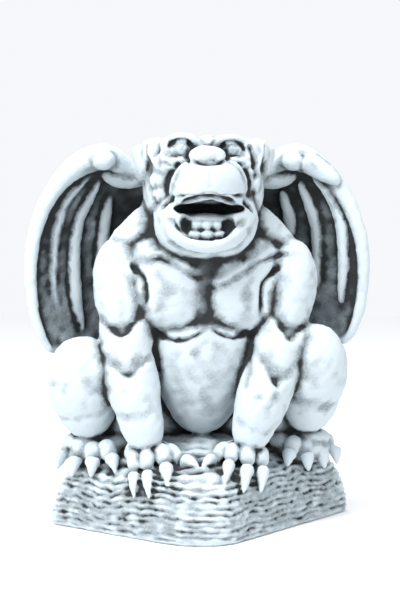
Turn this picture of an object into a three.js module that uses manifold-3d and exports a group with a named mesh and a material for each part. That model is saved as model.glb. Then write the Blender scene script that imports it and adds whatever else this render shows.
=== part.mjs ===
// A winged gargoyle that squats on a rock with both hands between its feet, carved from one block of stone.
// Millimetres, +Z up. The gargoyle faces -Y. The masses are laid out from a point under the middle of the
// rock, and the finished block is slid sideways until the origin is under the middle of its box.
import * as THREE from "three";
import { mergeVertices } from "three/addons/utils/BufferGeometryUtils.js";
import Module from "manifold-3d";

const wasm = await Module();
wasm.setup();

// ---- Driving dimensions -------------------------------------------------------------------------------

const HEIGHT = 500; // ground to the top of the brows
const HALF_SPAN = 226; // middle of the body to the middle of a wing's outer rim
const ROCK_TOP = 112; // ground to the seat, under the belly
const ROCK_EDGE = 66; // ground to where the rock's sides round over
const SIDES = { right: -1, left: 1 }; // the gargoyle's own right hand is at -X
const FRONT = [0, -1, 0];
const UP = [0, 0, 1];

// ---- Carver's tools: every mass is a three.js solid whose vertices are moulded ------------------------

const { lerp, smoothstep, degToRad } = THREE.MathUtils;
const vector = (p) => new THREE.Vector3(...p);
const curve = (points) => new THREE.CatmullRomCurve3(points.map(vector), false, "catmullrom");
const onSide = (side, points) => points.map(([x, y, z]) => [side * x, y, z]);
const between = (a, b, share) => a.map((value, i) => lerp(value, b[i], share));
const both = (make) => Object.values(SIDES).map(make);

// A closed three.js geometry as a manifold-3d solid that faces outwards.
function solid(geometry) {
  const bare = new THREE.BufferGeometry().setAttribute("position", geometry.getAttribute("position"));
  bare.setIndex(geometry.index);
  const merged = mergeVertices(bare, 1e-3);
  const corners = [];
  for (let i = 0; i < merged.index.count; i += 3) {
    const [a, b, c] = [0, 1, 2].map((k) => merged.index.getX(i + k));
    if (a !== b && b !== c && c !== a) corners.push(a, b, c);
  }
  const build = (order) =>
    new wasm.Manifold(
      new wasm.Mesh({
        numProp: 3,
        vertProperties: new Float32Array(merged.attributes.position.array),
        triVerts: new Uint32Array(order),
      }),
    );
  const made = build(corners);
  return made.volume() > 0 ? made : build(corners.reverse());
}

// Moves each vertex of a geometry to where place(position, uv) says.
function moulded(geometry, place) {
  const position = geometry.getAttribute("position");
  const uv = geometry.getAttribute("uv");
  for (let i = 0; i < position.count; i++) {
    const from = new THREE.Vector3().fromBufferAttribute(position, i);
    position.setXYZ(i, ...place(from, uv.getX(i), uv.getY(i)).toArray());
  }
  return solid(geometry);
}

// An egg with three radii, turned by Euler angles in degrees. A square above 2 makes it a rounded block.
function ball(centre, radii, { turn = [0, 0, 0], square = 2, sides = 12, rings = 7 } = {}) {
  const spin = new THREE.Euler(...turn.map(degToRad));
  const sphere = new THREE.SphereGeometry(1, sides, rings).rotateX(Math.PI / 2); // poles above and below
  return moulded(sphere, (p) => {
    const norm = p.toArray().reduce((sum, x) => sum + Math.pow(Math.abs(x), square), 0);
    p.divideScalar(Math.pow(norm, 1 / square)).multiply(vector(radii));
    return p.applyEuler(spin).add(vector(centre));
  });
}

// A rounded limb along a spine. radii holds [across, through] at each spine point, where through is
// measured along out, and blunt squares off the two ends.
function limb(spine, radii, { out = FRONT, blunt = 3, sides = 9, rings = 6 } = {}) {
  const path = curve(spine);
  const girth = curve(radii.map(([across, through]) => [across, through, 0]));
  return moulded(new THREE.SphereGeometry(1, sides, rings), (p, u, v) => {
    const t = (1 + Math.cos(Math.PI * v)) / 2;
    const turn = 2 * Math.PI * u;
    const along = path.getTangent(t);
    const through = vector(out).addScaledVector(along, -vector(out).dot(along)).normalize();
    const across = along.cross(through);
    const cap = Math.pow(Math.max(0, 1 - Math.pow(Math.abs(2 * t - 1), blunt)), 1 / blunt);
    const size = girth.getPoint(t).multiplyScalar(cap);
    return path
      .getPoint(t)
      .addScaledVector(through, Math.cos(turn) * size.y)
      .addScaledVector(across, Math.sin(turn) * size.x);
  });
}

const round = (...radii) => radii.map((r) => [r, r]);
const joined = (solids) => wasm.Manifold.union(solids.flat(Infinity));

// ---- The rock: a four-sided block with its front and back corners cut off -----------------------------

// Each side is its distance from the middle and the way that it faces, in degrees from +X.
const ROCK_SIDES = [
  { out: 165, faces: -133.7 },
  { out: 135, faces: -39.9 },
  { out: 165, faces: 46.3 },
  { out: 135, faces: 140.1 },
  { out: 190, faces: -90 },
  { out: 190, faces: 90 },
];
const ROCK_CORNER = 24; // the higher this is, the sharper the corners
const COURSES = 5; // layers that show on the rock's sides
const GROOVE = 0.02; // depth of the groove between two layers, as a share of the rock's half-width
const BATTER = 0.1; // how far the sides lean in as they rise, as the same share

function rockReach(angle) {
  const sum = ROCK_SIDES.reduce((total, { out, faces }) => {
    const towards = Math.max(0, Math.cos(angle - degToRad(faces)));
    return total + Math.pow(towards / out, ROCK_CORNER);
  }, 0);
  return Math.pow(sum, -1 / ROCK_CORNER);
}

function rock() {
  const course = ROCK_EDGE / COURSES;
  const wall = (z) => 1 - BATTER * Math.pow(z / ROCK_EDGE, 2);
  const profile = [new THREE.Vector2(0, 0), new THREE.Vector2(1 - GROOVE / 2, 0)];
  for (let z = course / 2; z < ROCK_EDGE; z += course) {
    profile.push(new THREE.Vector2(wall(z), z));
    profile.push(new THREE.Vector2(wall(z + course / 2) - GROOVE, z + course / 2));
  }
  for (const [share, z] of [[0.86, 73], [0.75, 81], [0.54, 89], [0.25, ROCK_TOP - 4], [0, ROCK_TOP]])
    profile.push(new THREE.Vector2(share, z));
  return moulded(new THREE.LatheGeometry(profile, 32), (p) => {
    const angle = Math.atan2(p.z, p.x);
    const reach = Math.hypot(p.x, p.z) * rockReach(angle);
    const sway = p.y > 0 ? 1.5 * Math.sin(3 * angle + p.y / 9) * (1 - smoothstep(p.y, 60, 75)) : 0;
    return new THREE.Vector3(reach * Math.cos(angle), reach * Math.sin(angle), p.y + sway);
  });
}

// ---- The body -----------------------------------------------------------------------------------------

const COLLAR = [[-114, -6, 334], [-52, -12, 334], [52, -12, 334], [114, -6, 334]];
const BELLY = [[0, -14, 272], [-2, -20, 205], [-4, -14, 114]];
const NECK = [[0, 34, 290], [0, 24, 350], [0, 8, 400], [0, 0, 440]];
const SLOPE = [[50, 8, 404], [86, 2, 368], [118, -6, 338]]; // from the neck to a shoulder

function breast(side) {
  return ball([side * 47, -18, 297], [55, 50, 56], { turn: [-5, 0, side * 12], square: 2.6, sides: 10 });
}

function body() {
  return [
    ball([0, 4, 290], [98, 64, 82], { square: 2.4, rings: 6 }), // rib cage
    ball([0, 48, 232], [96, 60, 128], { square: 2.4, sides: 10, rings: 6 }), // back
    limb(BELLY, [[80, 50], [66, 58], [44, 46]], { blunt: 2.6, sides: 14 }),
    limb(COLLAR, round(30, 43, 43, 30)),
    limb(NECK, [[98, 62], [92, 62], [82, 62], [74, 58]], { blunt: 5, sides: 12 }),
    both(breast),
    both((side) => limb(onSide(side, SLOPE), round(28, 27, 24), { sides: 7, rings: 5 })),
    both((side) => ball([side * 58, 52, 146], [64, 66, 66], { sides: 8, rings: 5 })), // haunches
  ];
}

// ---- The head -----------------------------------------------------------------------------------------

const EYE = { x: 32, y: -68, z: HEIGHT - 19, radius: 12 };
const BROW = { arch: 16.5, thick: 6 }; // radius of the arch over the eye, and of the ridge itself

function brow(side) {
  const spine = [-25, 35, 90, 145, 200].map(degToRad).map((angle) => {
    const outwards = BROW.arch * Math.cos(angle);
    const upwards = BROW.arch * Math.sin(angle);
    return [side * (EYE.x + outwards), EYE.y - 6 + outwards * 0.3, HEIGHT - 22.2 + upwards];
  });
  return limb(spine, spine.map(() => [BROW.thick, BROW.thick + 1]), { sides: 5 });
}

const EAR = [[60, -20, 436], [72, -18, 464], [76, -16, 489]];
const EAR_FOLD = [[68, -38, 492], [71, -44, 472], [69, -50, 450], [60, -56, 432]];

function ear(side) {
  return [
    limb(onSide(side, EAR), [[14, 26], [17, 28], [20, 24]], { blunt: 6, sides: 6, rings: 5 }),
    limb(onSide(side, EAR_FOLD), round(6, 6, 6, 4), { sides: 5 }),
  ];
}

const MUZZLE = [[1, -70, 420], [1, -82, 440], [2, -76, 459]];
const LIP = [
  [-60, -46, 406],
  [-50, -72, 386],
  [-30, -94, 369],
  [0, -104, 361],
  [30, -94, 369],
  [49, -72, 388],
  [59, -46, 409],
];
const TEETH = { wide: 14, tall: 11, rows: 2, floor: 376 };

function teeth() {
  return Array.from({ length: TEETH.rows }, (_, row) =>
    [-1, 0, 1].map((step) => {
      const tooth = new THREE.BoxGeometry(TEETH.wide - 1.4, 22, TEETH.tall - 1.4);
      const back = row * 4 + Math.abs(step) * 3;
      return solid(tooth.translate(step * TEETH.wide - 1, back - 82, TEETH.floor + row * TEETH.tall));
    }),
  );
}

function head() {
  const mass = joined([
    ball([0, -10, 438], [78, 70, 58], { square: 3, rings: 6 }), // skull
    ball([0, -42, 466], [70, 38, 31], { square: 4, sides: 10, rings: 5 }), // forehead
    ball([-2, -88, 471], [23, 22, 12], { square: 2.3, sides: 8, rings: 5 }), // nose
    limb(MUZZLE, [[48, 44], [47, 43], [35, 36]], { blunt: 6, sides: 12 }),
    ball([0, -50, 391], [66, 54, 49], { square: 2.4 }), // jaw
    limb(LIP, LIP.map(() => [11, 12]), { sides: 6, rings: 9 }),
    both(ear),
  ]);
  const hollows = joined([
    both((side) => ball([side * EYE.x, EYE.y - 12, EYE.z], [18, 14, 15], { sides: 8, rings: 5 })),
    ball([1, -112, 407], [46, 46, 14], { square: 2.4, rings: 6 }), // mouth
    ball([-1, -112, 389], [34, 30, 21], { square: 2.6, sides: 10 }), // behind the lower lip
  ]);
  return [
    mass.subtract(hollows),
    both(brow),
    both((side) => ball([side * EYE.x, EYE.y, EYE.z], Array(3).fill(EYE.radius), { sides: 7, rings: 6 })),
    ball([0, -72, 418], [38, 36, 8], { sides: 8, rings: 5 }), // upper gum
    ball([-1, -62, 391], [38, 26, 9], { sides: 8, rings: 5 }), // tongue
    teeth(),
  ];
}

// ---- Arms and hands -----------------------------------------------------------------------------------

// Each arm slips twice into a sleeve of stone, whose upper edge dips to a point in front. middle holds the
// middle of the arm, as [x, y] at equal steps from shoulder to wrist, and notches the lowest point of each
// sleeve's edge, as [x, z].
const ARMS = {
  right: {
    middle: [[-112, -2], [-107, -16], [-102, -34], [-98, -54], [-88, -76], [-74, -96]],
    notches: [[-99, 243], [-96, 194]],
  },
  left: {
    middle: [[115, -2], [111, -16], [104, -34], [89, -57], [67, -82], [47, -102]],
    notches: [[113, 238], [98, 181]],
  },
};
const SHOULDER = 366; // ground to the top of the shoulder
const WRIST = 105;
const ARM = 30; // radius
const SLEEVE = { step: 4, dip: 36 }; // how proud a sleeve stands, and how deep its edge dips

// What a sleeve's edge leaves open: the space above a curved V whose point is at [x, z].
function notch([x, z]) {
  const wide = 44;
  const [tall, deep, behind] = [120, 240, 80];
  const outline = new THREE.Shape();
  outline.moveTo(x, z);
  outline.quadraticCurveTo(x + wide * 0.6, z + SLEEVE.dip * 0.35, x + wide, z + SLEEVE.dip * 1.3);
  outline.lineTo(x + wide, z + tall);
  outline.lineTo(x - wide, z + tall);
  outline.lineTo(x - wide, z + SLEEVE.dip * 1.3);
  outline.quadraticCurveTo(x - wide * 0.6, z + SLEEVE.dip * 0.35, x, z);
  const block = new THREE.ExtrudeGeometry(outline, { depth: deep, bevelEnabled: false, curveSegments: 2 });
  return solid(block.rotateX(Math.PI / 2).translate(0, behind, 0));
}

function arm(name) {
  const { middle, notches } = ARMS[name];
  const step = (SHOULDER - WRIST) / (middle.length - 1);
  const spine = middle.map(([x, y], i) => [x, y, SHOULDER - i * step]);
  const path = curve(spine);
  const at = (z) => path.getPoint((SHOULDER - z) / (SHOULDER - WRIST)).toArray();
  const proud = ARM + SLEEVE.step;
  const sleeve = ([x, z]) => {
    const along = [z + 50, z + 16, z - 22, z - 62].map(at);
    const tube = limb(along, round(proud, proud, proud, ARM - 4), { blunt: 5, rings: 5 });
    return tube.subtract(notch([x, z]));
  };
  const upper = [at(SHOULDER), at(304), at(232)];
  return [
    limb(upper, [[34, 34], [37, 39], [31, 31]], { blunt: 2.4, sides: 10, rings: 7 }),
    limb(spine.slice(2), [[ARM, ARM], [ARM, ARM], [ARM, 26], [ARM + 2, 20]], { rings: 7 }),
    notches.map(sleeve),
  ];
}

const DIGIT = { out: UP, blunt: 4, rings: 4 };
const CLAW_TIP = 1.6; // radius

// A finger or toe: two round joints, then a claw down to the rock.
function digit({ root, end, tip, radius }) {
  const bend = between(root, end, 0.5);
  bend[2] += radius * 0.5;
  const nail = between(end, tip, -0.15);
  const arch = between(end, tip, 0.45);
  arch[2] += radius * 0.25;
  return [
    limb([root, bend, end], round(radius, radius, radius), { ...DIGIT, sides: 6 }),
    limb([nail, arch, tip], round(radius * 0.9, radius * 0.85, CLAW_TIP), { ...DIGIT, sides: 5 }),
  ];
}

const HANDS = {
  right: [
    { root: [-90, -86, 100], end: [-94, -108, 80], tip: [-94, -134, 48], radius: 8.5 },
    { root: [-76, -88, 102], end: [-77, -114, 82], tip: [-76, -150, 50], radius: 9.5 },
    { root: [-60, -88, 104], end: [-54, -112, 88], tip: [-53, -156, 66], radius: 10.5 },
    { root: [-56, -84, 100], end: [-32, -102, 92], tip: [-14, -130, 84], radius: 9 },
  ],
  left: [
    { root: [62, -88, 102], end: [70, -106, 84], tip: [62, -132, 53], radius: 9.5 },
    { root: [46, -92, 106], end: [49, -118, 88], tip: [38, -158, 57], radius: 10.5 },
    { root: [34, -92, 104], end: [26, -118, 92], tip: [15, -162, 71], radius: 9.5 },
    { root: [26, -88, 102], end: [6, -104, 96], tip: [-13, -130, 84], radius: 8 },
  ],
};

function hand(name) {
  const [outer, , inner] = HANDS[name];
  const knuckles = between(outer.root, inner.root, 0.5);
  const back = [knuckles[0], knuckles[1] + 2, 96];
  return [ball(back, [33, 28, 20], { sides: 8, rings: 6 }), HANDS[name].map(digit)];
}

// ---- Legs and feet ------------------------------------------------------------------------------------

const LEGS = {
  right: {
    knee: [-157, -34, 184],
    ankle: [-146, -30, 112],
    heel: [-140, -16, 92],
    toes: [
      { end: [-184, -22, 90], tip: [-190, -32, 70] },
      { end: [-166, -44, 88], tip: [-170, -57, 64] },
      { end: [-144, -60, 88], tip: [-146, -74, 66] },
      { end: [-121, -68, 92], tip: [-116, -84, 75] },
    ],
  },
  left: {
    knee: [141, -34, 199],
    ankle: [132, -26, 116],
    heel: [128, -10, 94],
    toes: [
      { end: [172, -10, 92], tip: [175, -20, 70] },
      { end: [153, -30, 90], tip: [155, -42, 69] },
      { end: [131, -46, 90], tip: [132, -60, 68] },
      { end: [109, -56, 94], tip: [103, -70, 77] },
    ],
  },
};
const TOE = 12; // radius

function leg(name) {
  const side = SIDES[name];
  const { knee, ankle, heel, toes } = LEGS[name];
  const hip = [side * 58, 46, 156];
  const thigh = [side * 106, 8, 184];
  const shin = [knee, between(knee, ankle, 0.5), ankle];
  const instep = [heel[0], heel[1], 100];
  return [
    limb([hip, thigh, knee], [[54, 50], [46, 46], [40, 42]], { out: UP, blunt: 2.4, sides: 8, rings: 5 }),
    ball(knee, [44, 44, 58], { square: 2.2, sides: 10 }),
    limb(shin, [[38, 36], [38, 36], [28, 28]], { blunt: 2.6, sides: 8, rings: 5 }),
    ball(heel, [40, 34, 22], { turn: [0, 0, side * -40], sides: 7, rings: 5 }),
    toes.map(({ end, tip }) => digit({ root: between(instep, end, 0.5), end, tip, radius: TOE })),
  ];
}

// ---- Wings --------------------------------------------------------------------------------------------

// The rim leaves the shoulder, turns at the wrist and sweeps round the outside, down to a tip behind the
// knee.
const WINGS = {
  right: { spread: 1, drop: 10 },
  left: { spread: 0.955, drop: 0 },
};
const RIM = [
  [126, 44, 474],
  [160, 36, 463],
  [190, 28, 436],
  [214, 18, 396],
  [HALF_SPAN, 10, 345],
  [224, 8, 290],
  [212, 6, 248],
  [196, 6, 226],
];
const WING_ROOT = [44, 58, 430];
const HEM = [26, 84, 172]; // where the sheet's inner edge meets the small of the back
const HOLLOW = 44; // how deep the sheet is cupped
const RIBS = [0.3, 0.47, 0.67]; // across the sheet, from the body to the rim
const RIB = { rise: 12, wide: 0.06 };
const SHEET = 14; // thickness

function wing(name) {
  const side = SIDES[name];
  const { spread, drop } = WINGS[name];
  const at = ([x, y, z]) => [side * x * spread, y, z - drop * smoothstep(-z, -430, -260)];
  const outer = curve(RIM.map(at));
  const inner = new THREE.LineCurve3(vector(at(WING_ROOT)), vector(at(HEM)));
  const sheet = moulded(new THREE.BoxGeometry(1, 1, 1, 13, 5, 1), (p) => {
    const across = p.x + 0.5;
    const down = 0.5 - p.y;
    const point = inner.getPoint(down).lerp(outer.getPoint(down), across);
    const cup = Math.sin(Math.PI * Math.pow(across, 0.8)) * smoothstep(down, -0.25, 0.3);
    const rib = Math.max(...RIBS.map((rib) => Math.exp(-Math.pow((across - rib) / RIB.wide, 2))));
    point.y += HOLLOW * cup + (p.z > 0 ? -RIB.rise * rib * smoothstep(down, 0, 0.15) : SHEET);
    return point;
  });
  const rim = [WING_ROOT, [90, 54, 456], ...RIM].map(at);
  const girth = round(14, 14, 19, 16, 12, 10, 9, 8, 8, 7);
  return [
    sheet,
    limb(rim, girth, { sides: 6, rings: 12 }),
    ball(at([128, 26, 468]), [15, 14, 13], { sides: 7, rings: 5 }), // thumb knob at the wrist
  ];
}

// ---- One block of stone -------------------------------------------------------------------------------

const figure = joined([
  rock(),
  body(),
  head(),
  Object.keys(SIDES).map((name) => [arm(name), hand(name), leg(name), wing(name)]),
]);

const carved = figure.getMesh();
const geometry = new THREE.BufferGeometry()
  .setAttribute("position", new THREE.BufferAttribute(new Float32Array(carved.vertProperties), 3))
  .setIndex(new THREE.BufferAttribute(new Uint32Array(carved.triVerts), 1));
geometry.computeBoundingBox();
const middle = geometry.boundingBox.getCenter(new THREE.Vector3());
geometry.translate(-middle.x, -middle.y, 0);
geometry.computeVertexNormals();
const stone = new THREE.MeshStandardMaterial({ color: "#8a949b", roughness: 0.85, metalness: 0 });
const gargoyle = new THREE.Mesh(geometry, stone);
gargoyle.name = "gargoyle";

const group = new THREE.Group();
group.add(gargoyle);
export default group;
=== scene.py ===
# %% [markdown]
# # A stone gargoyle
#
# The real thing is one block of grey-blue stone: a winged beast that squats on a rock with its clawed hands
# between its feet. A carver first saws and chisels the block down to big plain masses, then rounds them, adds
# the smaller forms, cuts the fine lines, and leaves the weather to do the rest.
#
# This scene takes the same road in clay. The frame holds the plain masses at their true size, with flat
# facets. Here the same masses are laid out again from the same measures, round this time, and one skin is
# drawn over them all. Then the skin is rubbed, built up, scooped and scored, and gets its stone.

# %% The frame
from math import cos, pi, radians, sin

import bmesh
import bpy
import numpy as np
from mathutils import Euler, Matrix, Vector
from mathutils.bvhtree import BVHTree


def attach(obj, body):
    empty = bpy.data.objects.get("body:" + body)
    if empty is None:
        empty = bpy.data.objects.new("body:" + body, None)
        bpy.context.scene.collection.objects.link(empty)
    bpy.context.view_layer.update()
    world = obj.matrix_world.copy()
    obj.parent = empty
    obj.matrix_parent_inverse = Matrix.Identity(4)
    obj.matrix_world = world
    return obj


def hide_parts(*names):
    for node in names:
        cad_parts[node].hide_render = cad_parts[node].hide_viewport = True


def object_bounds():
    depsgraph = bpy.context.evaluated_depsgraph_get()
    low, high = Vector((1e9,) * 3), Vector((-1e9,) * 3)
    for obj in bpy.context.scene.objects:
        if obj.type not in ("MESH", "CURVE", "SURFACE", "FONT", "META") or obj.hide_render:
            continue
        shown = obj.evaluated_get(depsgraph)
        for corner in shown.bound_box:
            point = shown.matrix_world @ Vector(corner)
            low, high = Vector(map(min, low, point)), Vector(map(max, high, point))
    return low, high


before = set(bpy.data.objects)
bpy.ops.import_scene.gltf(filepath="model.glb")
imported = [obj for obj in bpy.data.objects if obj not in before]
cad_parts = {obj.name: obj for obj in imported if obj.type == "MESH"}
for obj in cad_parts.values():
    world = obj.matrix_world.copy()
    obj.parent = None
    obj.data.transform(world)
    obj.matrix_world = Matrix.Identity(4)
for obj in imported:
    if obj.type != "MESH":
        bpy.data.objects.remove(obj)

cad_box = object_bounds()
print("the block is", [round(high - low, 3) for low, high in zip(*cad_box)], "metres")

# %% [markdown]
# ## The camera
#
# A small carving is best seen through a long lens from a few paces off, because a long lens hardly bends its
# proportions. This one stands a little to the beast's right, looks slightly down on it, and doesn't shift.

# %% Camera
TURN = radians(4)  # to the right of straight ahead
DIP = radians(3.18)  # below the horizon
lens = bpy.data.cameras.new("long lens")
lens.lens, lens.sensor_width = 94.2, 36  # millimetres
camera = bpy.data.objects.new("camera", lens)
bpy.context.scene.collection.objects.link(camera)
camera.location = (-0.1413, -2.0443, 0.4)
looks = Vector((sin(TURN) * cos(DIP), cos(TURN) * cos(DIP), -sin(DIP)))
camera.rotation_euler = looks.to_track_quat("-Z", "Y").to_euler()
bpy.context.scene.camera = camera
print("the camera stands", round(camera.location.length, 2), "m away")

# %% [markdown]
# ## Lumps of clay
#
# Sizes from here on are in millimetres, and x is counted from the beast's own middle line, because a carver
# thinks in millimetres and measures both ways from the middle.
#
# Two kinds of lump make almost everything. An egg is a sphere stretched and turned, and squared off where a
# form is blocky. A limb is a sphere drawn out along a smooth curve, with its own width and depth at each
# point. Both start as Blender's own sphere, whose points are then moved. They only need to overlap.

# %% Lumps
MM = 0.001
MIDDLE = 5.1  # from the middle of the box to the beast's own middle line
FRONT, UP = (0, -1, 0), (0, 0, 1)
SIDES = {"right": -1, "left": 1}  # the beast's own right is at -X
lumps = bmesh.new()


def place(points):
    """Millimetres from the beast's middle line to metres in the frame."""
    return (np.asarray(points, float) + (MIDDLE, 0, 0)) * MM


def mould(shape, move):
    """Moves all of a shape's points as move says, and puts it with the other lumps."""
    points = move(np.array([v.co for v in shape.verts]))
    mesh = bpy.data.meshes.new("shape")
    shape.to_mesh(mesh)
    shape.free()
    mesh.vertices.foreach_set("co", place(points).ravel())
    lumps.from_mesh(mesh)
    bpy.data.meshes.remove(mesh)


def sphere(around=32, down=20):
    shape = bmesh.new()
    bmesh.ops.create_uvsphere(shape, u_segments=around, v_segments=down, radius=1)
    return shape


def egg(centre, radii, turn=(0, 0, 0), square=2, fine=1):
    """radii run along x, y and z. A higher square is blockier, and turn is in degrees."""
    turned = np.array(Euler([radians(angle) for angle in turn]).to_matrix())

    def move(points):
        size = (np.abs(points) ** square).sum(1, keepdims=True) ** (1 / square)
        return (points / size * radii) @ turned.T + centre

    mould(sphere(32 * fine, 20 * fine), move)


def curve(knots, steps=40):
    """Points on a smooth curve through the knots, whatever numbers a knot holds."""
    knots = np.asarray(knots, float)
    ends = np.vstack([2 * knots[0] - knots[1], knots, 2 * knots[-1] - knots[-2]])
    made = []
    for p, q, r, s in zip(ends, ends[1:], ends[2:], ends[3:]):
        t = np.linspace(0, 1, steps, endpoint=False)[:, None]
        made.append(q + t / 2 * (r - p + t * (2 * p - 5 * q + 4 * r - s + t * (3 * (q - r) + s - p))))
    return np.vstack([*made, knots[-1:]])


def along(line, share):
    """The points at these shares of a line, from 0 to 1."""
    steps = np.linspace(0, 1, len(line))
    return np.stack([np.interp(share, steps, column) for column in line.T], 1)


def unit(vectors):
    return vectors / np.linalg.norm(vectors, axis=1, keepdims=True)


def limb(spine, girth, out=FRONT, blunt=3, around=32, down=40, trim=None):
    """girth holds [across, through] along the spine, and through is measured along out. A higher blunt
    gives blunter ends, and trim may draw the surface in towards the spine."""
    path, size = curve(spine), curve(girth)

    def move(points):
        share, turn = (1 + points[:, 2]) / 2, np.arctan2(points[:, 1], points[:, 0])[:, None]
        middle, heading = along(path, share), unit(along(np.gradient(path, axis=0), share))
        through = unit(np.asarray(out) - heading * (heading @ np.asarray(out, float))[:, None])
        cap = np.maximum(0, 1 - np.abs(points[:, 2:]) ** blunt) ** (1 / blunt)
        wide = along(size, share) * cap
        spread = through * np.cos(turn) * wide[:, 1:]
        spread = spread + np.cross(heading, through) * np.sin(turn) * wide[:, :1]
        return middle + (spread if trim is None else trim(middle, spread))

    mould(sphere(around, down), move)


def round_(*radii):
    """The girth of a round limb."""
    return [[radius, radius] for radius in radii]


def mirrored(side, knots):
    """Knots given for the left side, set on this side."""
    return [(side * knot[0], *knot[1:]) for knot in knots]


def between(a, b, share):
    return [p + (q - p) * share for p, q in zip(a, b)]


def soft(value, low, high):
    """0 below low, 1 above high, and a smooth ramp between."""
    t = np.clip((value - low) / (high - low), 0, 1)
    return t * t * (3 - 2 * t)

# %% [markdown]
# ## The rock
#
# The rock is a four-sided block whose front and back corners are cut off. Its profile is spun round the
# upright axis, and each point is then pulled in or out to where the six flat sides are.

# %% Rock
ROCK_SIDES = [(165, -133.7), (135, -39.9), (165, 46.3), (135, 140.1), (190, -90), (190, 90)]  # reach, facing
ROCK_CORNER = 24  # the higher this is, the sharper the corners
ROCK_INSIDE = 0.998  # the skin comes out a hair larger than its lumps
ROCK_PROFILE = [(0.99, 0), (1, 8), (0.99, 24), (0.965, 40), (0.935, 54), (0.90, 66), (0.86, 74), (0.75, 82),
                (0.54, 90), (0.25, 108), (0, 112)]


def rock_reach(angle):
    """How far the rock reaches in this direction, with its corners a little rounded."""
    towards = [np.maximum(0, np.cos(angle - radians(facing))) / reach for reach, facing in ROCK_SIDES]
    return sum(share**ROCK_CORNER for share in towards) ** (-1 / ROCK_CORNER)


def onto_rock(points):
    """Pulls a round profile in or out to the flat sides."""
    angle = np.arctan2(points[:, 1], points[:, 0])
    reach = ROCK_INSIDE * np.hypot(points[:, 0], points[:, 1]) * rock_reach(angle)
    return np.stack([reach * np.cos(angle), reach * np.sin(angle), points[:, 2]], 1)


rock = bmesh.new()
profile = curve(ROCK_PROFILE, 4)
outline = [rock.verts.new((0, 0, 0))] + [rock.verts.new((share, 0, z)) for share, z in profile]
edges = [rock.edges.new(pair) for pair in zip(outline, outline[1:])]
turn = {"cent": (0, 0, 0), "axis": UP, "angle": 2 * pi, "steps": 180, "use_merge": True}
bmesh.ops.spin(rock, geom=outline + edges, **turn)
bmesh.ops.remove_doubles(rock, verts=rock.verts, dist=1e-6)
bmesh.ops.recalc_face_normals(rock, faces=rock.faces)
mould(rock, onto_rock)
print("rock laid out")

# %% [markdown]
# ## The trunk and the head
#
# A ribcage, a back, a belly and a thick neck, with two flat breasts. The head is a block with a heavy muzzle
# and a broad jaw.

# %% Trunk and head
egg((0, 4, 290), (98, 64, 82), square=2.4, fine=2)
egg((0, 48, 232), (96, 60, 128), square=2.4, fine=2)
limb([(0, -14, 272), (-2, -20, 205), (-4, -14, 114)], [(80, 50), (66, 58), (44, 46)], blunt=2.6, around=48)
limb([(-114, -6, 334), (-52, -12, 334), (52, -12, 334), (114, -6, 334)], round_(30, 43, 43, 30))
NECK = [(0, 34, 290), (0, 24, 350), (0, 8, 400), (0, 0, 440)]
limb(NECK, [(98, 62), (92, 62), (82, 62), (74, 58)], blunt=5)
for side in SIDES.values():
    egg((side * 47, -18, 297), (55, 50, 56), turn=(-5, 0, side * 12), square=2.6)
    limb(mirrored(side, [(50, 8, 404), (86, 2, 368), (118, -6, 338)]), round_(28, 27, 24))
    egg((side * 58, 52, 146), (64, 66, 66))
    egg((side * 112, 14, 130), (34, 40, 36))  # the fold of the leg, behind the hand

egg((0, -10, 438), (78, 70, 58), square=3)
egg((0, -42, 466), (70, 38, 31), square=4)
limb([(1, -70, 419), (1, -81, 437), (1, -76, 454)], [(48, 44), (47, 42), (38, 36)], blunt=8)
egg((0, -50, 391), (66, 54, 49), square=2.4)
limb([(-60, -46, 406), (-50, -72, 386), (-30, -94, 369), (0, -104, 361), (30, -94, 369), (49, -72, 388),
      (59, -46, 409)], round_(11, 11, 12, 12, 12, 11, 11))
EAR = [(60, -20, 436), (71, -18, 464), (73, -18, 487)]
for side in SIDES.values():
    limb(mirrored(side, EAR), [(14, 26), (18, 28), (21, 26)], blunt=8)
    egg((side * 60, -34, 478), (20, 22, 16.5), square=4)
print("trunk and head laid out")

# %% [markdown]
# ## Arms and legs
#
# Each arm slips twice into a sleeve of stone. A sleeve is a slightly fatter limb, trimmed along a curved V:
# above the V its points are drawn inside the arm, which leaves a crisp ledge that catches the light.

# %% Arms and legs
ARMS = {
    "right": [(-112, -2), (-107, -16), (-102, -34), (-98, -54), (-88, -76), (-74, -96)],
    "left": [(115, -2), (111, -16), (104, -34), (89, -57), (67, -82), (47, -102)],
}
SHOULDER, WRIST, ARM, SLEEVE = 366, 105, 30, 34  # two heights and two radii
DRAWN_IN = 0.7  # how much of its radius a sleeve keeps above its V
EDGES = {
    "right": [
        [(-140, 266), (-124, 250), (-110, 245), (-97, 250), (-82, 265), (-70, 282)],
        [(-132, 220), (-116, 203.5), (-100, 195.5), (-86, 205), (-72, 214), (-60, 224)],
    ],
    "left": [
        [(76, 278), (88, 261), (96, 250), (105, 238), (121, 246), (136, 256), (148, 270)],
        [(58, 226), (70, 208), (82, 185), (95, 189), (108, 196), (122, 212)],
    ],
}


def at(path, z):
    """Where an arm's path passes this height."""
    return along(path, [(SHOULDER - z) / (SHOULDER - WRIST)])[0]


def trimmed(lip):
    """Draws in whatever of a limb is above this line of x and z."""

    def trim(middle, spread):
        spots = middle + spread
        above = spots[:, 2] > np.interp(spots[:, 0], lip[:, 0], lip[:, 1])
        return np.where(above[:, None], spread * DRAWN_IN, spread)

    return trim


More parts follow.
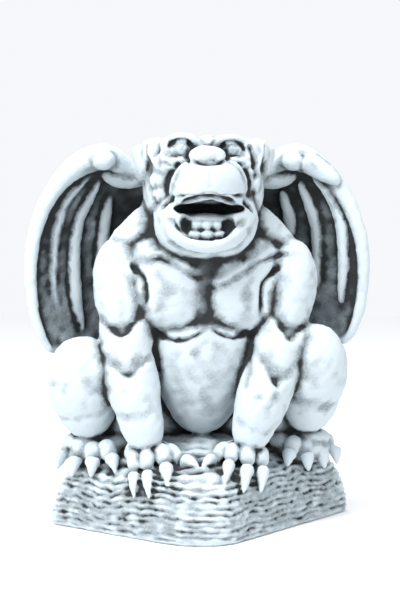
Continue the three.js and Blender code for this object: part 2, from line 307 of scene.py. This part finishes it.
for name, middle in ARMS.items():
    spine = [(x, y, SHOULDER + (WRIST - SHOULDER) * i / 5) for i, (x, y) in enumerate(middle)]
    path = curve(spine)
    limb([at(path, z) for z in (SHOULDER, 304, 232)], [(34, 34), (37, 39), (31, 31)], blunt=2.4)
    limb(spine[2:], [(ARM, ARM), (ARM, ARM), (ARM, 26), (ARM + 2, 20)])
    for edge in EDGES[name]:
        lip = curve(edge)
        reach = [at(path, lip[:, 1].min() + above) for above in (56, 18, -20, -62)]
        limb(reach, round_(SLEEVE, SLEEVE, SLEEVE, ARM - 4), blunt=5, around=72, down=120, trim=trimmed(lip))

LEGS = {
    "right": {"knee": (-157, -34, 184), "ankle": (-146, -30, 112), "heel": (-140, -16, 92)},
    "left": {"knee": (141, -34, 199), "ankle": (132, -26, 116), "heel": (128, -10, 94)},
}
for name, leg in LEGS.items():
    side, knee, ankle, heel = SIDES[name], leg["knee"], leg["ankle"], leg["heel"]
    hip, thigh = (side * 58, 46, 156), (side * 106, 8, 184)
    limb([hip, thigh, knee], [(54, 50), (46, 46), (40, 42)], out=UP, blunt=2.4)
    egg(knee, (44, 44, 58), square=2.2)
    limb([knee, between(knee, ankle, 0.5), ankle], [(38, 36), (38, 36), (28, 28)], blunt=2.6)
    egg(heel, (40, 34, 22), turn=(0, 0, side * -40))
print("arms:", len(ARMS), "legs:", len(LEGS))

# %% [markdown]
# ## The wings
#
# A wing is a cupped sheet of stone hung in a thick rim. The sheet is a block cut fine, whose front is laid on
# a surface drawn between the back and the rim. The rim runs from the shoulder over the wrist and round.

# %% Wings
WINGS = {"right": (1, 10), "left": (0.955, 0)}  # spread, and how far the top drops
RIM = [(126, 44, 474), (160, 36, 463), (189, 28, 436), (212, 18, 396), (223.4, 10, 345), (221.4, 8, 290),
       (210, 6, 248), (195, 6, 226)]
WING_ROOT, HEM = (44, 58, 430), (26, 84, 172)
HOLLOW, SHEET = 44, 14  # how deep a wing is cupped, and how thick its sheet is


def hang(name, knots):
    """Sets knots on a wing's own side, spread and dropped as that wing is."""
    spread, drop = WINGS[name]
    moved = np.array(knots, float)
    moved[:, 0] *= SIDES[name] * spread
    moved[:, 2] -= drop * soft(-moved[:, 2], -430, -260)
    return moved


def cupped(rim, inner):
    """Lays a cube on a bowl between the line along the back and the rim."""

    def cup(points):
        across, down, front = points[:, 0] + 0.5, 0.5 - points[:, 1], points[:, 2:] + 0.5
        inside, outside = along(inner, down), along(rim, down)
        sheet = inside + (outside - inside) * across[:, None]
        bowl = np.sin(pi * across**0.8) * soft(down, -0.25, 0.3)
        sheet[:, 1] += HOLLOW * bowl + SHEET * (1 - front[:, 0])
        return sheet

    return cup


for name in WINGS:
    slab = bmesh.new()
    bmesh.ops.create_cube(slab, size=1)
    bmesh.ops.subdivide_edges(slab, edges=slab.edges[:], cuts=40, use_grid_fill=True)
    mould(slab, cupped(curve(hang(name, RIM)), hang(name, [WING_ROOT, HEM])))
    limb(hang(name, [WING_ROOT, (90, 54, 456), *RIM]), round_(14, 14, 19, 16, 12, 10, 9, 8, 8, 7), down=120)
    egg(hang(name, [(128, 26, 468)])[0], (15, 14, 13))  # the wing's wrist
print("wings:", len(WINGS))

# %% [markdown]
# ## One skin
#
# A voxel remesh draws one even skin over all the lumps. On an even skin rubbing with the thumb is simple:
# every point moves towards the mean of its neighbours.

# %% Skin
COARSE, FINE = 2.1, 1.7  # the voxels of the first and the second skin


def new_piece(name, mesh):
    piece = bpy.data.objects.new(name, mesh)
    bpy.context.scene.collection.objects.link(piece)
    return piece


def settle(piece):
    """Makes what the modifiers show the piece's own mesh."""
    seen = piece.evaluated_get(bpy.context.evaluated_depsgraph_get())
    old, piece.data = piece.data, bpy.data.meshes.new_from_object(seen)
    piece.modifiers.clear()
    bpy.data.meshes.remove(old)


def skin(piece, voxel):
    """Draws one even skin, of voxels this many millimetres wide, over a piece's closed shells."""
    remesh = piece.modifiers.new("skin", "REMESH")
    remesh.mode, remesh.voxel_size = "VOXEL", voxel * MM
    settle(piece)


class Clay:
    """The skin's points, in millimetres from the middle line, with their neighbours and normals."""

    def __init__(self, piece):
        self.mesh = piece.data
        flat = np.empty(len(self.mesh.vertices) * 3)
        self.mesh.vertices.foreach_get("co", flat)
        self.points = flat.reshape(-1, 3) / MM - (MIDDLE, 0, 0)
        ends = np.empty(len(self.mesh.edges) * 2, int)
        self.mesh.edges.foreach_get("vertices", ends)
        self.a, self.b = ends.reshape(-1, 2).T
        self.count = np.bincount(ends, minlength=len(self.points))
        self.face()

    def face(self):
        """Puts the points back into the mesh and reads the normals again."""
        self.mesh.vertices.foreach_set("co", place(self.points).ravel())
        self.mesh.update()
        flat = np.empty(len(self.points) * 3)
        self.mesh.vertex_normals.foreach_get("vector", flat)
        self.normals = flat.reshape(-1, 3)

    def mean(self, values):
        """For each point, the mean of its neighbours' values."""
        total = np.bincount(self.a, values[self.b], len(values))
        return (total + np.bincount(self.b, values[self.a], len(values))) / self.count

    def rub(self, times, weight=0.5):
        """Moves every point this share of the way to the mean of its neighbours, and again."""
        for _ in range(times):
            self.points += np.stack([weight * (self.mean(column) - column) for column in self.points.T], 1)
        self.face()


gargoyle = new_piece("gargoyle_carving", bpy.data.meshes.new("gargoyle_carving"))
lumps.to_mesh(gargoyle.data)
lumps.free()
skin(gargoyle, COARSE)
clay = Clay(gargoyle)
clay.rub(6)
print("skin:", len(clay.points), "points")

# %% [markdown]
# ## Scoops
#
# A scoop is a spoon pushed straight in from the front: each point inside the spoon's egg moves back until it
# lies on the egg's far side. It cuts the eye sockets and the mouth.

# %% Scoops


def scoop(centre, radii):
    """Pushes the points inside this egg back to its far side."""
    across, through, up = (clay.points - centre).T / np.array(radii)[:, None]
    inside = across**2 + through**2 + up**2 < 1
    back = centre[1] + radii[1] * np.sqrt(np.clip(1 - across**2 - up**2, 0, None))
    clay.points[inside, 1] = np.maximum(clay.points[inside, 1], back[inside])


EYE, EYE_HEIGHT = 32, 480
for side in SIDES.values():
    scoop((side * EYE, -90, EYE_HEIGHT), (18, 28, 15))
scoop((2, -104, 405), (46, 74, 10))  # the mouth, from corner to corner
scoop((0, -104, 412), (34, 40, 12))  # under the upper lip
scoop((-1, -108, 387), (37, 34, 22))  # behind the lower lip
clay.face()
print("scoops:", len(SIDES) + 3)

# %% [markdown]
# Small forms sit on the skin, so it helps to feel where the skin is. A ray sent straight in from the front at
# some x and z finds it.

# %% Feeling the skin


def feel():
    """The clay's present skin as a tree that rays can meet."""
    corners = np.empty(len(clay.mesh.loops), int)
    clay.mesh.loops.foreach_get("vertex_index", corners)
    return BVHTree.FromPolygons(clay.points.tolist(), corners.reshape(-1, 4).tolist())


def front(tree, x, z):
    """How far forward the skin is at this x and z."""
    return tree.ray_cast(Vector((x, -400, z)), Vector((0, 1, 0)))[0].y


skin_now = feel()

# %% [markdown]
# ## The face
#
# The face is a beast's: round eyes under arched brows, wrinkled bags below them, a broad nose, a heavy
# muzzle, and a mouth that hangs open over a gum, a tongue and two rows of teeth. All of it is small rolls
# and eggs. A roll is a thin limb, given as x, y, z and its radius.

# %% Face
lumps = bmesh.new()


def roll(knots, out=FRONT, blunt=3):
    """A thin round limb through knots of x, y, z and radius."""
    knots = np.array(knots, float)
    limb(knots[:, :3], np.stack([knots[:, 3]] * 2, 1), out, blunt, around=20, down=10 * len(knots))


for side in SIDES.values():
    egg((side * EYE, -69, EYE_HEIGHT), (12, 11, 11.5))  # eyeball
    lid = [(side * (EYE + 11.5 * cos(turn)), -74.5 + abs(sin(turn)), EYE_HEIGHT - 0.5 + 10.5 * sin(turn), 2.2)
           for turn in np.linspace(-0.15, 1.15, 9) * pi + pi]
    roll(lid)  # lower lid
# brows
roll([(-55, -58, 480, 4.5), (-50, -66, 489, 5.8), (-40, -72, 493.5, 6.2), (-30, -75, 494, 6.2),
      (-19, -76, 492, 6), (-8, -76, 486, 5)])
roll([(5, -76, 488, 5), (14, -77, 491, 6), (28, -77, 492, 6.2), (42, -71, 490.5, 6), (52, -62, 485, 5.5),
      (58, -54, 477, 4)])
egg((0, -66, 484), (20, 18, 13))  # bridge
egg((-1, -92, 471), (23, 25, 12.5))  # nose
egg((-13, -100, 466), (10, 14, 7.5))
egg((12, -100, 466), (10, 14, 7.5))
# sides of the muzzle, upper lip and gum
roll([(-24, -96, 462, 3), (-33, -97, 456, 3), (-40, -94, 446, 3), (-44, -88, 434, 2.8), (-46, -78, 421, 2.5)])
roll([(22, -96, 462, 3), (33, -97, 459, 3), (41, -92, 450, 3), (46, -86, 438, 2.8), (48, -78, 424, 2.5)])
roll([(-42, -84, 424, 3), (-30, -104, 424, 3.2), (-16, -113, 426, 3.4), (0, -118, 427.5, 3.4),
      (16, -113, 426, 3.4), (30, -104, 424, 3.2), (43, -84, 425, 3)])
roll([(-40, -74, 411, 4), (-26, -86, 415, 5), (-10, -95, 419.5, 5), (4, -97, 421, 5), (16, -92, 418, 5),
      (28, -84, 414, 5), (38, -74, 411, 4)])
egg((0, -62, 391), (38, 30, 8))  # tongue
egg((-1, -82, 378), (24, 12, 14))  # behind the teeth
for height, forward, wide in [(372.5, -92, 15.6), (384.5, -88, 12.8)]:
    for step in (-1, 0, 1):
        egg((step * wide - 1, forward + abs(step) * 2.5, height), (wide * 0.46, 11, 5), square=4)  # tooth
# jowls
egg((54, -52, 391), (13, 20, 15))
egg((-53, -50, 389), (12, 18, 14))
BAGS = [  # x, z and radius
    (-62, 465, 5), (-58, 473, 4), (-52, 467, 5), (-43, 464, 5.5), (-51, 457, 5.5), (-41, 455, 5.5),
    (-33, 465, 4.5), (-32, 458, 4), (51, 469, 4.5), (43, 465, 5), (34, 465, 4.5), (52, 461, 5),
    (44, 457, 4.5), (54, 452, 4.5), (55, 443, 4.5),
]
for x, z, size in BAGS:
    egg((x, front(skin_now, x, z) + 0.1 * size, z), (size * 1.15, size, size * 0.95))
for x, z, wide, tall in [(-58, 441, 14, 12), (-56, 424, 12, 10), (58, 438, 11, 13)]:
    egg((x, front(skin_now, x, z) + 6, z), (wide, 11, tall))  # cheeks


def seated(knots, sunk):
    """x, z and radius to x, y, z and radius, with the middle this far under the skin."""
    return [(x, front(skin_now, x, z) + sunk, z, size) for x, z, size in knots]


# folds in front of the ears
roll(seated([(-71, 489, 4), (-70, 478, 4.5), (-66, 467, 4.2), (-61, 458, 4), (-54, 450, 3)], 1))
roll(seated([(71, 488, 4), (70, 478, 4.5), (66, 466, 4.5), (64, 456, 4), (67, 446, 3.5), (70, 434, 3)], 1))
print("face modelled")

# %% [markdown]
# ## Hands and feet
#
# Each finger and toe is a roll with two swollen joints, and a claw that leaves the last joint thinner than
# it, which gives the ring of skin round a real claw's root.

# %% Fingers, toes and claws
HANDS = [  # root, end, tip of the claw, and thickness
    [(-90, -84, 100), (-94, -106, 82), (-94, -135, 50), 9.5],
    [(-76, -86, 102), (-77, -112, 84), (-76, -152, 52), 10.5],
    [(-60, -86, 104), (-54, -110, 90), (-53, -158, 67), 11.5],
    [(-58, -82, 101), (-34, -102, 94), (-13, -133, 84), 11],
    [(62, -86, 102), (70, -104, 86), (62, -134, 55), 10.5],
    [(46, -90, 106), (49, -116, 90), (38, -160, 59), 11.5],
    [(34, -90, 104), (26, -116, 94), (15, -163, 72), 10],
    [(28, -86, 103), (8, -104, 97), (-11, -133, 84), 10],
]
FEET = [
    [(-162, -19, 97), (-184, -22, 92), (-190, -34, 71), 12],
    [(-153, -30, 96), (-166, -44, 90), (-171, -60, 65), 12],
    [(-142, -38, 96), (-144, -60, 90), (-146, -77, 67), 12.5],
    [(-130, -42, 98), (-121, -68, 94), (-116, -87, 75), 12.5],
    [(150, -10, 98), (172, -10, 94), (175, -22, 71), 12],
    [(140, -20, 97), (153, -30, 92), (155, -44, 70), 12],
    [(130, -28, 97), (131, -46, 92), (132, -62, 69), 12],
    [(118, -33, 99), (109, -56, 96), (103, -72, 77), 12],
]
for root, end, tip, thick in HANDS + FEET:
    knuckle = between(root, end, 0.45)
    knuckle[2] += thick * 0.3
    pinch = between(root, end, 0.76)
    roll([(*root, thick * 0.9), (*knuckle, thick), (*pinch, thick * 0.86), (*end, thick * 0.96)], out=UP)
    nail, arch = between(end, tip, 0.16), between(end, tip, 0.52)
    arch[2] += thick * 0.22
    roll([(*nail, thick * 0.84), (*arch, thick * 0.66), (*tip, 2)], out=UP, blunt=6)
# backs of the hands and feet, and the stone left between them
egg((-73, -80, 98), (32, 22, 17))
egg((44, -84, 98), (30, 22, 17))
egg((-150, -20, 104), (32, 28, 16))
egg((134, -14, 106), (32, 28, 16))
egg((-2, -10, 84), (60, 70, 25))
egg((-118, -6, 103), (20, 30, 13))
egg((106, -4, 103), (20, 30, 13))
print("claws:", len(HANDS + FEET))

# %% [markdown]
# ## Ribs
#
# Broad ribs fan out over each hollow sheet, from under the wrist down to the hem.

# %% Ribs
RIBS = [
    [(-145, 55, 450, 6), (-166, 51, 432, 8), (-182, 46, 414, 9), (-191, 44, 390, 9.5), (-197, 41, 361, 9.5),
     (-199, 40, 330, 9.5), (-198, 39, 298, 9), (-186, 44, 260, 7)],
    [(-134, 64, 441, 6), (-148, 65, 417, 8), (-161, 62, 393, 9), (-168, 60, 361, 9.5), (-169, 58, 329, 9.5),
     (-167, 57, 297, 9.5), (-164, 57, 276, 9), (-156, 60, 244, 7)],
    [(-118, 82, 422, 6), (-125, 82, 398, 8), (-129, 84, 371, 9), (-132, 82, 340, 9), (-134, 80, 300, 9)],
    [(150, 38, 448, 6), (168, 34, 430, 8), (182, 32, 405, 8.5), (188, 29, 375, 8.5), (190, 27, 330, 8.5),
     (186, 27, 280, 8)],
    [(134, 56, 440, 6), (148, 58, 412, 8), (158, 59, 380, 8.5), (160, 60, 344, 8.5), (158, 59, 300, 8)],
    [(112, 72, 430, 6), (122, 76, 400, 8), (126, 78, 370, 8)],
]
for rib in RIBS:
    roll(rib)
for side in SIDES.values():
    egg((side * 96, 58, 448), (34, 10, 16))  # web between the neck and the rim
roll([(182, 12, 440, 10), (150, 24, 462, 14), (134, 16, 470, 13)])  # the left wing's thicker wrist
print("ribs:", len(RIBS))

# %% [markdown]
# The rolls and eggs join the clay, and a finer remesh makes one skin of them all.

# %% Finer skin
lumps.from_mesh(gargoyle.data)
lumps.to_mesh(gargoyle.data)
lumps.free()
skin(gargoyle, FINE)
clay = Clay(gargoyle)
clay.rub(3)
print("skin:", len(clay.points), "points")

# %% [markdown]
# ## Scoring
#
# Now the fine lines. A stroke follows a curve on the skin and lifts the points near it, or cuts them down
# where its height is negative, most in the middle of the stroke and tapering towards its ends. Lines on the
# front are drawn as x and z, and the skin gives the depth.

# %% Strokes
skin_now = feel()


def drawn(pairs):
    """A smooth line on the front of the skin through these x and z."""
    return np.array([(x, front(skin_now, x, z), z) for x, z in curve(pairs, 8)])


def stroke(line, wide, high, taper=0.2):
    """Lifts the skin along a line, and taper is the share of the line that fades out at each end."""
    reach = 3 * wide
    beyond, before = clay.points > line.min(0) - reach, clay.points < line.max(0) + reach
    near = np.flatnonzero((beyond & before).all(1))
    spots = clay.points[near]
    gap, where = np.full(len(near), 1e9), np.zeros(len(near))
    for i, (a, b) in enumerate(zip(line, line[1:])):
        share = np.clip((spots - a) @ (b - a) / ((b - a) @ (b - a)), 0, 1)
        away = np.linalg.norm(spots - a - share[:, None] * (b - a), axis=1)
        closer = away < gap
        gap[closer], where[closer] = away[closer], i + share[closer]
    where /= len(line) - 1
    fade = soft(np.minimum(where, 1 - where), -0.02, taper)
    clay.points[near] += clay.normals[near] * (high * fade * np.exp(-((gap / wide) ** 2)))[:, None]


def ring(x, z, radius, start=0, turn=2 * pi):
    """A circle, or the part of one that starts here and turns so far."""
    angles = [start + turn * i / 16 for i in range(17)]
    return [(x + radius * cos(angle), z + radius * sin(angle)) for angle in angles]


BODY = [  # width, height, then the line
    (6, -2.5, [(6, 312), (3, 290), (4, 262)]),  # breastbone
    (3.2, -4, [(-70, 256), (-60, 246), (-47, 241), (-32, 240), (-16, 245), (3, 255)]),
    (3.2, -4, [(4, 255), (18, 247.5), (33, 242), (46, 244), (56, 252)]),
    (4, -6, [(-97, 336), (-88, 328), (-80, 316), (-77, 299), (-77, 276)]),  # armpits
    (3.5, -7, [(98, 334), (86, 324), (74, 311), (71, 296), (70, 262)]),
    (5, -1.8, [(-72, 349), (-50, 338), (-23, 323), (-5, 314)]),  # collar bones
    (4, 1.6, [(-84, 353), (-50, 345), (-20, 330), (0, 319)]),
    (4, -1.8, [(112, 348), (87, 344), (56, 330), (28, 313), (8, 303)]),
    (3.5, 1.8, [(116, 353), (87, 350), (56, 337), (28, 320), (8, 309)]),
    (4.5, 1.8, [(82, 186), (75, 174), (70, 166), (62, 156), (52, 142)]),  # forearm
    (7, -2, [(-70, 236), (-60, 200), (-58, 170)]),
    (7, -2, [(60, 236), (52, 200), (44, 170)]),
]
for wide, high, pairs in BODY:
    stroke(drawn(pairs), wide, high)

FACE = [  # width, height, then the line
    # under the brows
    (2.0, -4.0, [(-49, 480), (-46, 486), (-39, 490.5), (-31, 491.5), (-24, 489), (-20, 482)]),
    (2.0, -4.0, [(18, 482), (22, 487.5), (30, 489.5), (39, 488), (45, 483), (47, 476)]),
    (1.2, -1.3, ring(-32.5, 480.5, 6)),  # iris
    (1.2, -1.3, ring(31.5, 479, 6)),
    (1.2, -1.6, [(-31, 483.5), (-29, 480.5), (-32, 478.5), (-35, 480)]),  # pupil
    (1.2, -1.6, [(29, 480), (30, 477), (33, 477), (34.5, 480)]),
    (1.6, 1.3, ring(-32.5, 480, 10.5, pi * 0.95, pi * 1.2)),  # lower lids
    (1.6, 1.3, ring(31.5, 479, 10.5, pi * 0.85, pi * 1.2)),
    (1.3, -1.2, ring(-32.5, 480, 8.6, pi * 0.95, pi * 1.2)),
    (1.3, -1.2, ring(31.5, 479, 8.6, pi * 0.85, pi * 1.2)),
    (2.0, -2.2, [(-7, 494), (-4, 488), (1, 484), (7, 487), (10, 493)]),  # between the brows
    (2.0, -3.2, [(-23, 468), (-14, 461.5), (0, 459.5), (14, 461.5), (23, 468)]),  # under the nose
    (2.5, -1.6, [(-25, 480), (-24, 473), (-24, 466)]),
    (2.5, -1.6, [(24, 480), (24, 473), (24, 466)]),
    (3.5, -1.3, [(0, 458), (0, 445), (0, 430)]),
    (1.7, -3.5, [(-47, 420), (-33, 420.5), (-19, 422), (-6, 423.5), (1, 424), (10, 423), (27, 421),
                 (38, 421), (50, 423)]),  # under the upper lip
    (1.1, -1.2, [(-27, 413), (-10, 418), (3, 419.5), (18, 416.5), (28, 412)]),
    (3.0, -4.5, [(-42, 418), (-51, 413), (-58, 405)]),  # corners of the mouth
    (3.0, -4.5, [(44, 414), (52, 409), (59, 402)]),
    (2.0, -3.0, [(-45, 394), (-35, 379), (-27, 371), (-12, 366.5), (6, 366.5), (20, 370.5), (29, 379),
                 (44, 394)]),  # inside and outside the lower lip
    (4.0, 1.6, [(-60, 399), (-51, 386), (-30, 367), (-10, 359), (9, 359), (27, 367), (47, 384), (60, 397)]),
    (1.7, 2.0, [(-24, 463), (-34, 457), (-41, 447), (-45, 436), (-47, 421)]),  # sides of the muzzle
    (1.7, 2.0, [(22, 463), (34, 461), (42, 452), (47, 442), (49, 426)]),
    (2.6, -2.6, [(-32, 463), (-40, 457), (-47, 447), (-50, 436), (-52, 422)]),
    (2.6, -2.6, [(38, 464), (48, 454), (53, 443), (55, 428)]),
    (4.5, -5.0, [(53, 486), (58, 476), (60, 465), (58, 454)]),  # between the eyes and the ears
    (3.5, -3.0, [(-62, 488), (-61, 479), (-62, 472)]),
    (1.5, -2.2, [(-75.5, 490), (-74.5, 477), (-73.5, 465), (-75, 452)]),
    (1.5, -1.8, [(76, 488), (75, 476), (72, 462)]),
    (2.2, -1.6, [(-70, 446), (-64, 432), (-66, 416)]),
    (2.5, -2.2, [(62, 448), (60, 430), (63, 412)]),
]
for wide, high, pairs in FACE:
    stroke(drawn(pairs), wide, high, 0.12)
RIB_EDGE = (9.5, 5, 0)  # from a rib's middle back to the edge that is cut crisp
for rib in RIBS:
    stroke(curve(rib)[::8, :3] - RIB_EDGE, 2.4, -1.6)
clay.face()
print(len(BODY) + len(FACE) + len(RIBS), "strokes")

# %% [markdown]
# ## Layers in the rock
#
# The rock is cut to look like layered stone: thin dark grooves about 7 mm apart run round its sides, waver,
# and break off. They are cut where the skin still lies on the rock's own surface, so they stop at the hands
# and feet.

# %% Layers
chance = np.random.default_rng(7)


def waves(points, length, parts=9):
    """A smooth random height, about -1 to 1, from waves of this length that cross in all directions."""
    total = np.zeros(len(points))
    for _ in range(parts):
        heading = chance.normal(size=3)
        heading *= 2 * pi / length * chance.uniform(0.7, 1.4) / np.linalg.norm(heading)
        total += np.sin(points @ heading + chance.uniform(0, 2 * pi))
    return total / parts**0.5 / 1.2


LAYER, GROOVE = 7, 1.15  # from one groove to the next, and how wide a groove is
FLANK = 9  # the profile's points before this one are the foot, below where the rock narrows
x, y, z = clay.points.T
angle = np.arctan2(y, x)
ratio = np.hypot(x, y) / rock_reach(angle)
profile = curve(ROCK_PROFILE, 8)
wall = np.interp(z, profile[:, 1], profile[:, 0])
top = np.interp(-ratio, -profile[FLANK:, 0], profile[FLANK:, 1])
off = np.minimum(np.abs(ratio - wall) * 150, np.abs(z - top))
on_rock = soft(-off, -5, -2.5) * soft(z, 2, 6) * soft(-z, -112, -96)
waver = waves(clay.points * (1, 1, 0.4), 70) * 0.5 + waves(clay.points * (1, 1, 2), 22) * 0.16
step = z / LAYER + waver
groove = np.exp(-(((step - np.floor(step) - 0.5) * LAYER / GROOVE) ** 2))
broken = soft(waves(np.stack([angle * 130, np.floor(step) * 40, 0 * z], 1), 26), -0.5, 0.5)
swell = np.cos(2 * pi * (step - 0.5 - np.floor(step)))
depth = 0.5 + 1.7 * broken
clay.points -= clay.normals * (on_rock * (groove * depth + 0.35 * swell))[:, None]
CORNER = [(30, -155, 64), (29, -162, 43), (27, -168, 22), (24, -174, 6)]  # the rock's crisp front edge
stroke(np.array(CORNER, float), 2.5, 1.6, 0.05)
clay.face()
print("on the rock:", int((on_rock > 0.5).sum()), "points")

# %% [markdown]
# ## The hand of the carver
#
# A hand-cut surface is never true. Long shallow waves stand for the strokes of the chisel, and short ones for
# the point's pecking.

# %% Unevenness
uneven = 0.45 * waves(clay.points, 34) + 0.3 * waves(clay.points, 13) + 0.22 * waves(clay.points, 6)
calm = 1 - 0.5 * soft(z, 425, 440) * soft(-y, 40, 60)
clay.points += clay.normals * (uneven * calm)[:, None]
least, most = (np.array(corner) / MM - (MIDDLE, 0, 0) for corner in cad_box)
clay.points = np.clip(clay.points, least, most)  # the block is never larger than it was
clay.face()
print("uneven by up to", round(float(np.abs(uneven).max()), 1), "mm")

# %% [markdown]
# ## Fewer triangles
#
# The even skin spends as many points on a smooth belly as on an eye. Decimate merges edges where the surface
# is flattest first, so the count drops and the carving stays.

# %% Decimate
KEPT = 96000 / len(gargoyle.data.polygons)  # a share of the four-sided faces, which are two triangles each
thin = gargoyle.modifiers.new("fewer triangles", "DECIMATE")
thin.ratio = KEPT
settle(gargoyle)
clay = Clay(gargoyle)
clay.points = np.clip(clay.points, least + 0.05, most - 0.05)
clay.face()
gargoyle.data.shade_smooth()
print("the carving has", sum(len(face.vertices) - 2 for face in gargoyle.data.polygons), "triangles")

# %% [markdown]
# ## Painted shade in the hollows, and the worn ridges
#
# Weather washes a ridge pale. The hollows get painted shade, dark where the light hardly reaches, and the
# fine lines get painted shade too, over the stone's own darker colour in its crevices. To know which is
# which, a copy of the points is averaged with their neighbours: in a hollow the average moves outwards, on a
# ridge it moves inwards. A few rounds find the small lines and many rounds find the deep places. Both are
# stored with the points, for the stone to read.

# %% Hollows
# line and hollow say where shade is painted into the colour, and which ridges are worn pale
for name, rounds, scale in [("line", 3, 0.5), ("hollow", 60, 6)]:
    moved = clay.points.copy()
    for _ in range(rounds):
        moved = np.stack([clay.mean(column) for column in moved.T], 1)
    depth = ((moved - clay.points) * clay.normals).sum(1) / scale
    for _ in range(2):
        depth = clay.mean(depth)
    stored = gargoyle.data.attributes.new(name, "FLOAT", "POINT")
    stored.data.foreach_set("value", np.clip(depth, -1, 1))
    print(name, "from", round(float(depth.min()), 2), "to", round(float(depth.max()), 2))

# %% [markdown]
# ## The stone
#
# A fine blue-grey stone, dull all over: the light that comes off it is scattered by grains smaller than a
# millimetre. Three things change its own colour. Broad clouds come from the bed the block was cut from and
# from damp, small specks are its dark and pale grains, and the weather leaves it pale on ridges. Over them
# shade is painted in: dark in the deep hollows, and nearly black in the fine lines, where the stone is also
# darker of itself. The true grains would be too fine for this view, so they are drawn about 2 mm wide.
#
# Each of these is one layer of colour over the last. A layer shows where its own pattern or attribute runs
# from nothing to full, so they are listed in a table and one loop lays them on.

# %% Weathered stone, with painted shade


def linear(hexa):
    """An sRGB hex colour as the linear numbers that Blender works in."""
    parts = [int(hexa[i:i + 2], 16) / 255 for i in (1, 3, 5)]
    return (*[c / 12.92 if c <= 0.04045 else ((c + 0.055) / 1.055) ** 2.4 for c in parts], 1)


def add(tree, kind, inputs, **settings):
    """Adds a node, sets it, and gives each input its value or the output that feeds it."""
    node = tree.nodes.new(kind)
    for key, value in settings.items():
        setattr(node, key, value)
    for key, value in inputs.items():
        if isinstance(value, bpy.types.NodeSocket):
            tree.links.new(value, node.inputs[key])
        else:
            node.inputs[key].default_value = value
    return node


stone = bpy.data.materials.new("weathered blue-grey stone with painted shade")
stone.use_nodes = True
tree = stone.node_tree
shader = tree.nodes["Principled BSDF"]
shader.inputs["Roughness"].default_value = 0.86  # dull and dry
shader.inputs["IOR"].default_value = 1.5
shader.inputs["Specular IOR Level"].default_value = 0.3
spot = add(tree, "ShaderNodeTexCoord", {}).outputs["Object"]
PATCHY = 0.6  # how strongly each pattern's finer detail shows
LAYERS = [  # size in millimetres and detail, or an attribute, then where it starts, where it is full, colour
    (60, 4, 0.35, 0.65, "#a0abb1"),  # the bed's broad clouds
    (35, 5, 0.56, 0.75, "#88928c"),  # a green tinge of damp
    (12, 4, 0.55, 0.8, "#7b7f7d"),  # stains
    (2.2, 2, 0.56, 0.72, "#6c7579"),  # dark grains
    (2.6, 2, 0.6, 0.74, "#c0cacd"),  # pale grains
    # The next two layers are painted shade: dark in the hollows, nearly black in the fine lines.
    ("hollow", None, 0.05, 0.75, "#43494b"),  # painted shade in the deep places
    ("line", None, 0.08, 0.8, "#2b2e2f"),  # painted shade in the lines, over the stone's own darker crevices
    ("line", None, -0.12, -0.8, "#c3ced4"),  # worn ridges
]
colour = linear("#8d989e")
for pattern, detail, start, full, tone in LAYERS:
    if detail is None:
        source = add(tree, "ShaderNodeAttribute", {}, attribute_name=pattern)
    else:
        grain = {"Vector": spot, "Scale": 1 / (pattern * MM), "Detail": detail, "Roughness": PATCHY}
        source = add(tree, "ShaderNodeTexNoise", grain)
    run = {"Value": source.outputs["Fac"], "From Min": start, "From Max": full}
    share = add(tree, "ShaderNodeMapRange", run).outputs["Result"]
    laid = {"Factor": share, "A": colour, "B": linear(tone)}
    colour = add(tree, "ShaderNodeMix", laid, data_type="RGBA").outputs["Result"]
tree.links.new(colour, shader.inputs["Base Color"])

pitting = {"Vector": spot, "Scale": 1 / (2.8 * MM), "Detail": 5, "Roughness": PATCHY}
pitting = add(tree, "ShaderNodeTexNoise", pitting).outputs["Fac"]
run = {"Value": pitting, "From Min": 0.3, "From Max": 0.7}
height = add(tree, "ShaderNodeMapRange", run).outputs["Result"]
pits = add(tree, "ShaderNodeBump", {"Height": height, "Strength": 0.45, "Distance": 0.6 * MM})
tree.links.new(pits.outputs["Normal"], shader.inputs["Normal"])
gargoyle.data.materials.clear()
gargoyle.data.materials.append(stone)
print("layers of colour:", len(LAYERS))

# %% [markdown]
# ## The floor and the light
#
# The floor is plain white card, so nothing in it draws the eye. Two large soft lamps, one high on the
# beast's right and one nearly overhead, and a pale surround leave soft shadows that show every form.

# %% Stage
card = bpy.data.materials.new("matt white card")
card.use_nodes = True
shader = card.node_tree.nodes["Principled BSDF"]
shader.inputs["Base Color"].default_value = linear("#f4f4f4")
shader.inputs["Roughness"].default_value = 0.9
floor = bmesh.new()
bmesh.ops.create_grid(floor, x_segments=1, y_segments=1, size=4)
ground = new_piece("floor", bpy.data.meshes.new("floor"))
floor.to_mesh(ground.data)
floor.free()
ground.data.materials.append(card)

sky = bpy.data.worlds.new("white studio")
sky.use_nodes = True
sky.node_tree.nodes["Background"].inputs["Color"].default_value = linear("#f6f8fb")
sky.node_tree.nodes["Background"].inputs["Strength"].default_value = 1.0
bpy.context.scene.world = sky
bpy.context.scene.view_settings.view_transform = "Standard"


def softbox(name, spot, size, power):
    """A square lamp, size in metres and power in watts, that looks at the middle of the carving."""
    light = bpy.data.lights.new(name, "AREA")
    light.energy, light.size = power, size
    lamp = bpy.data.objects.new(name, light)
    bpy.context.scene.collection.objects.link(lamp)
    lamp.location = spot
    lamp.rotation_euler = (Vector((0, 0, 0.25)) - lamp.location).to_track_quat("-Z", "Y").to_euler()


softbox("key", (-1.3, -1.4, 2.2), 0.9, 55)
softbox("top", (0.0, -0.3, 2.4), 1.0, 30)
print("floor and lamps set")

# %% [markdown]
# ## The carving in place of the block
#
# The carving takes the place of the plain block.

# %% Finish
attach(gargoyle, "root")
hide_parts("gargoyle")
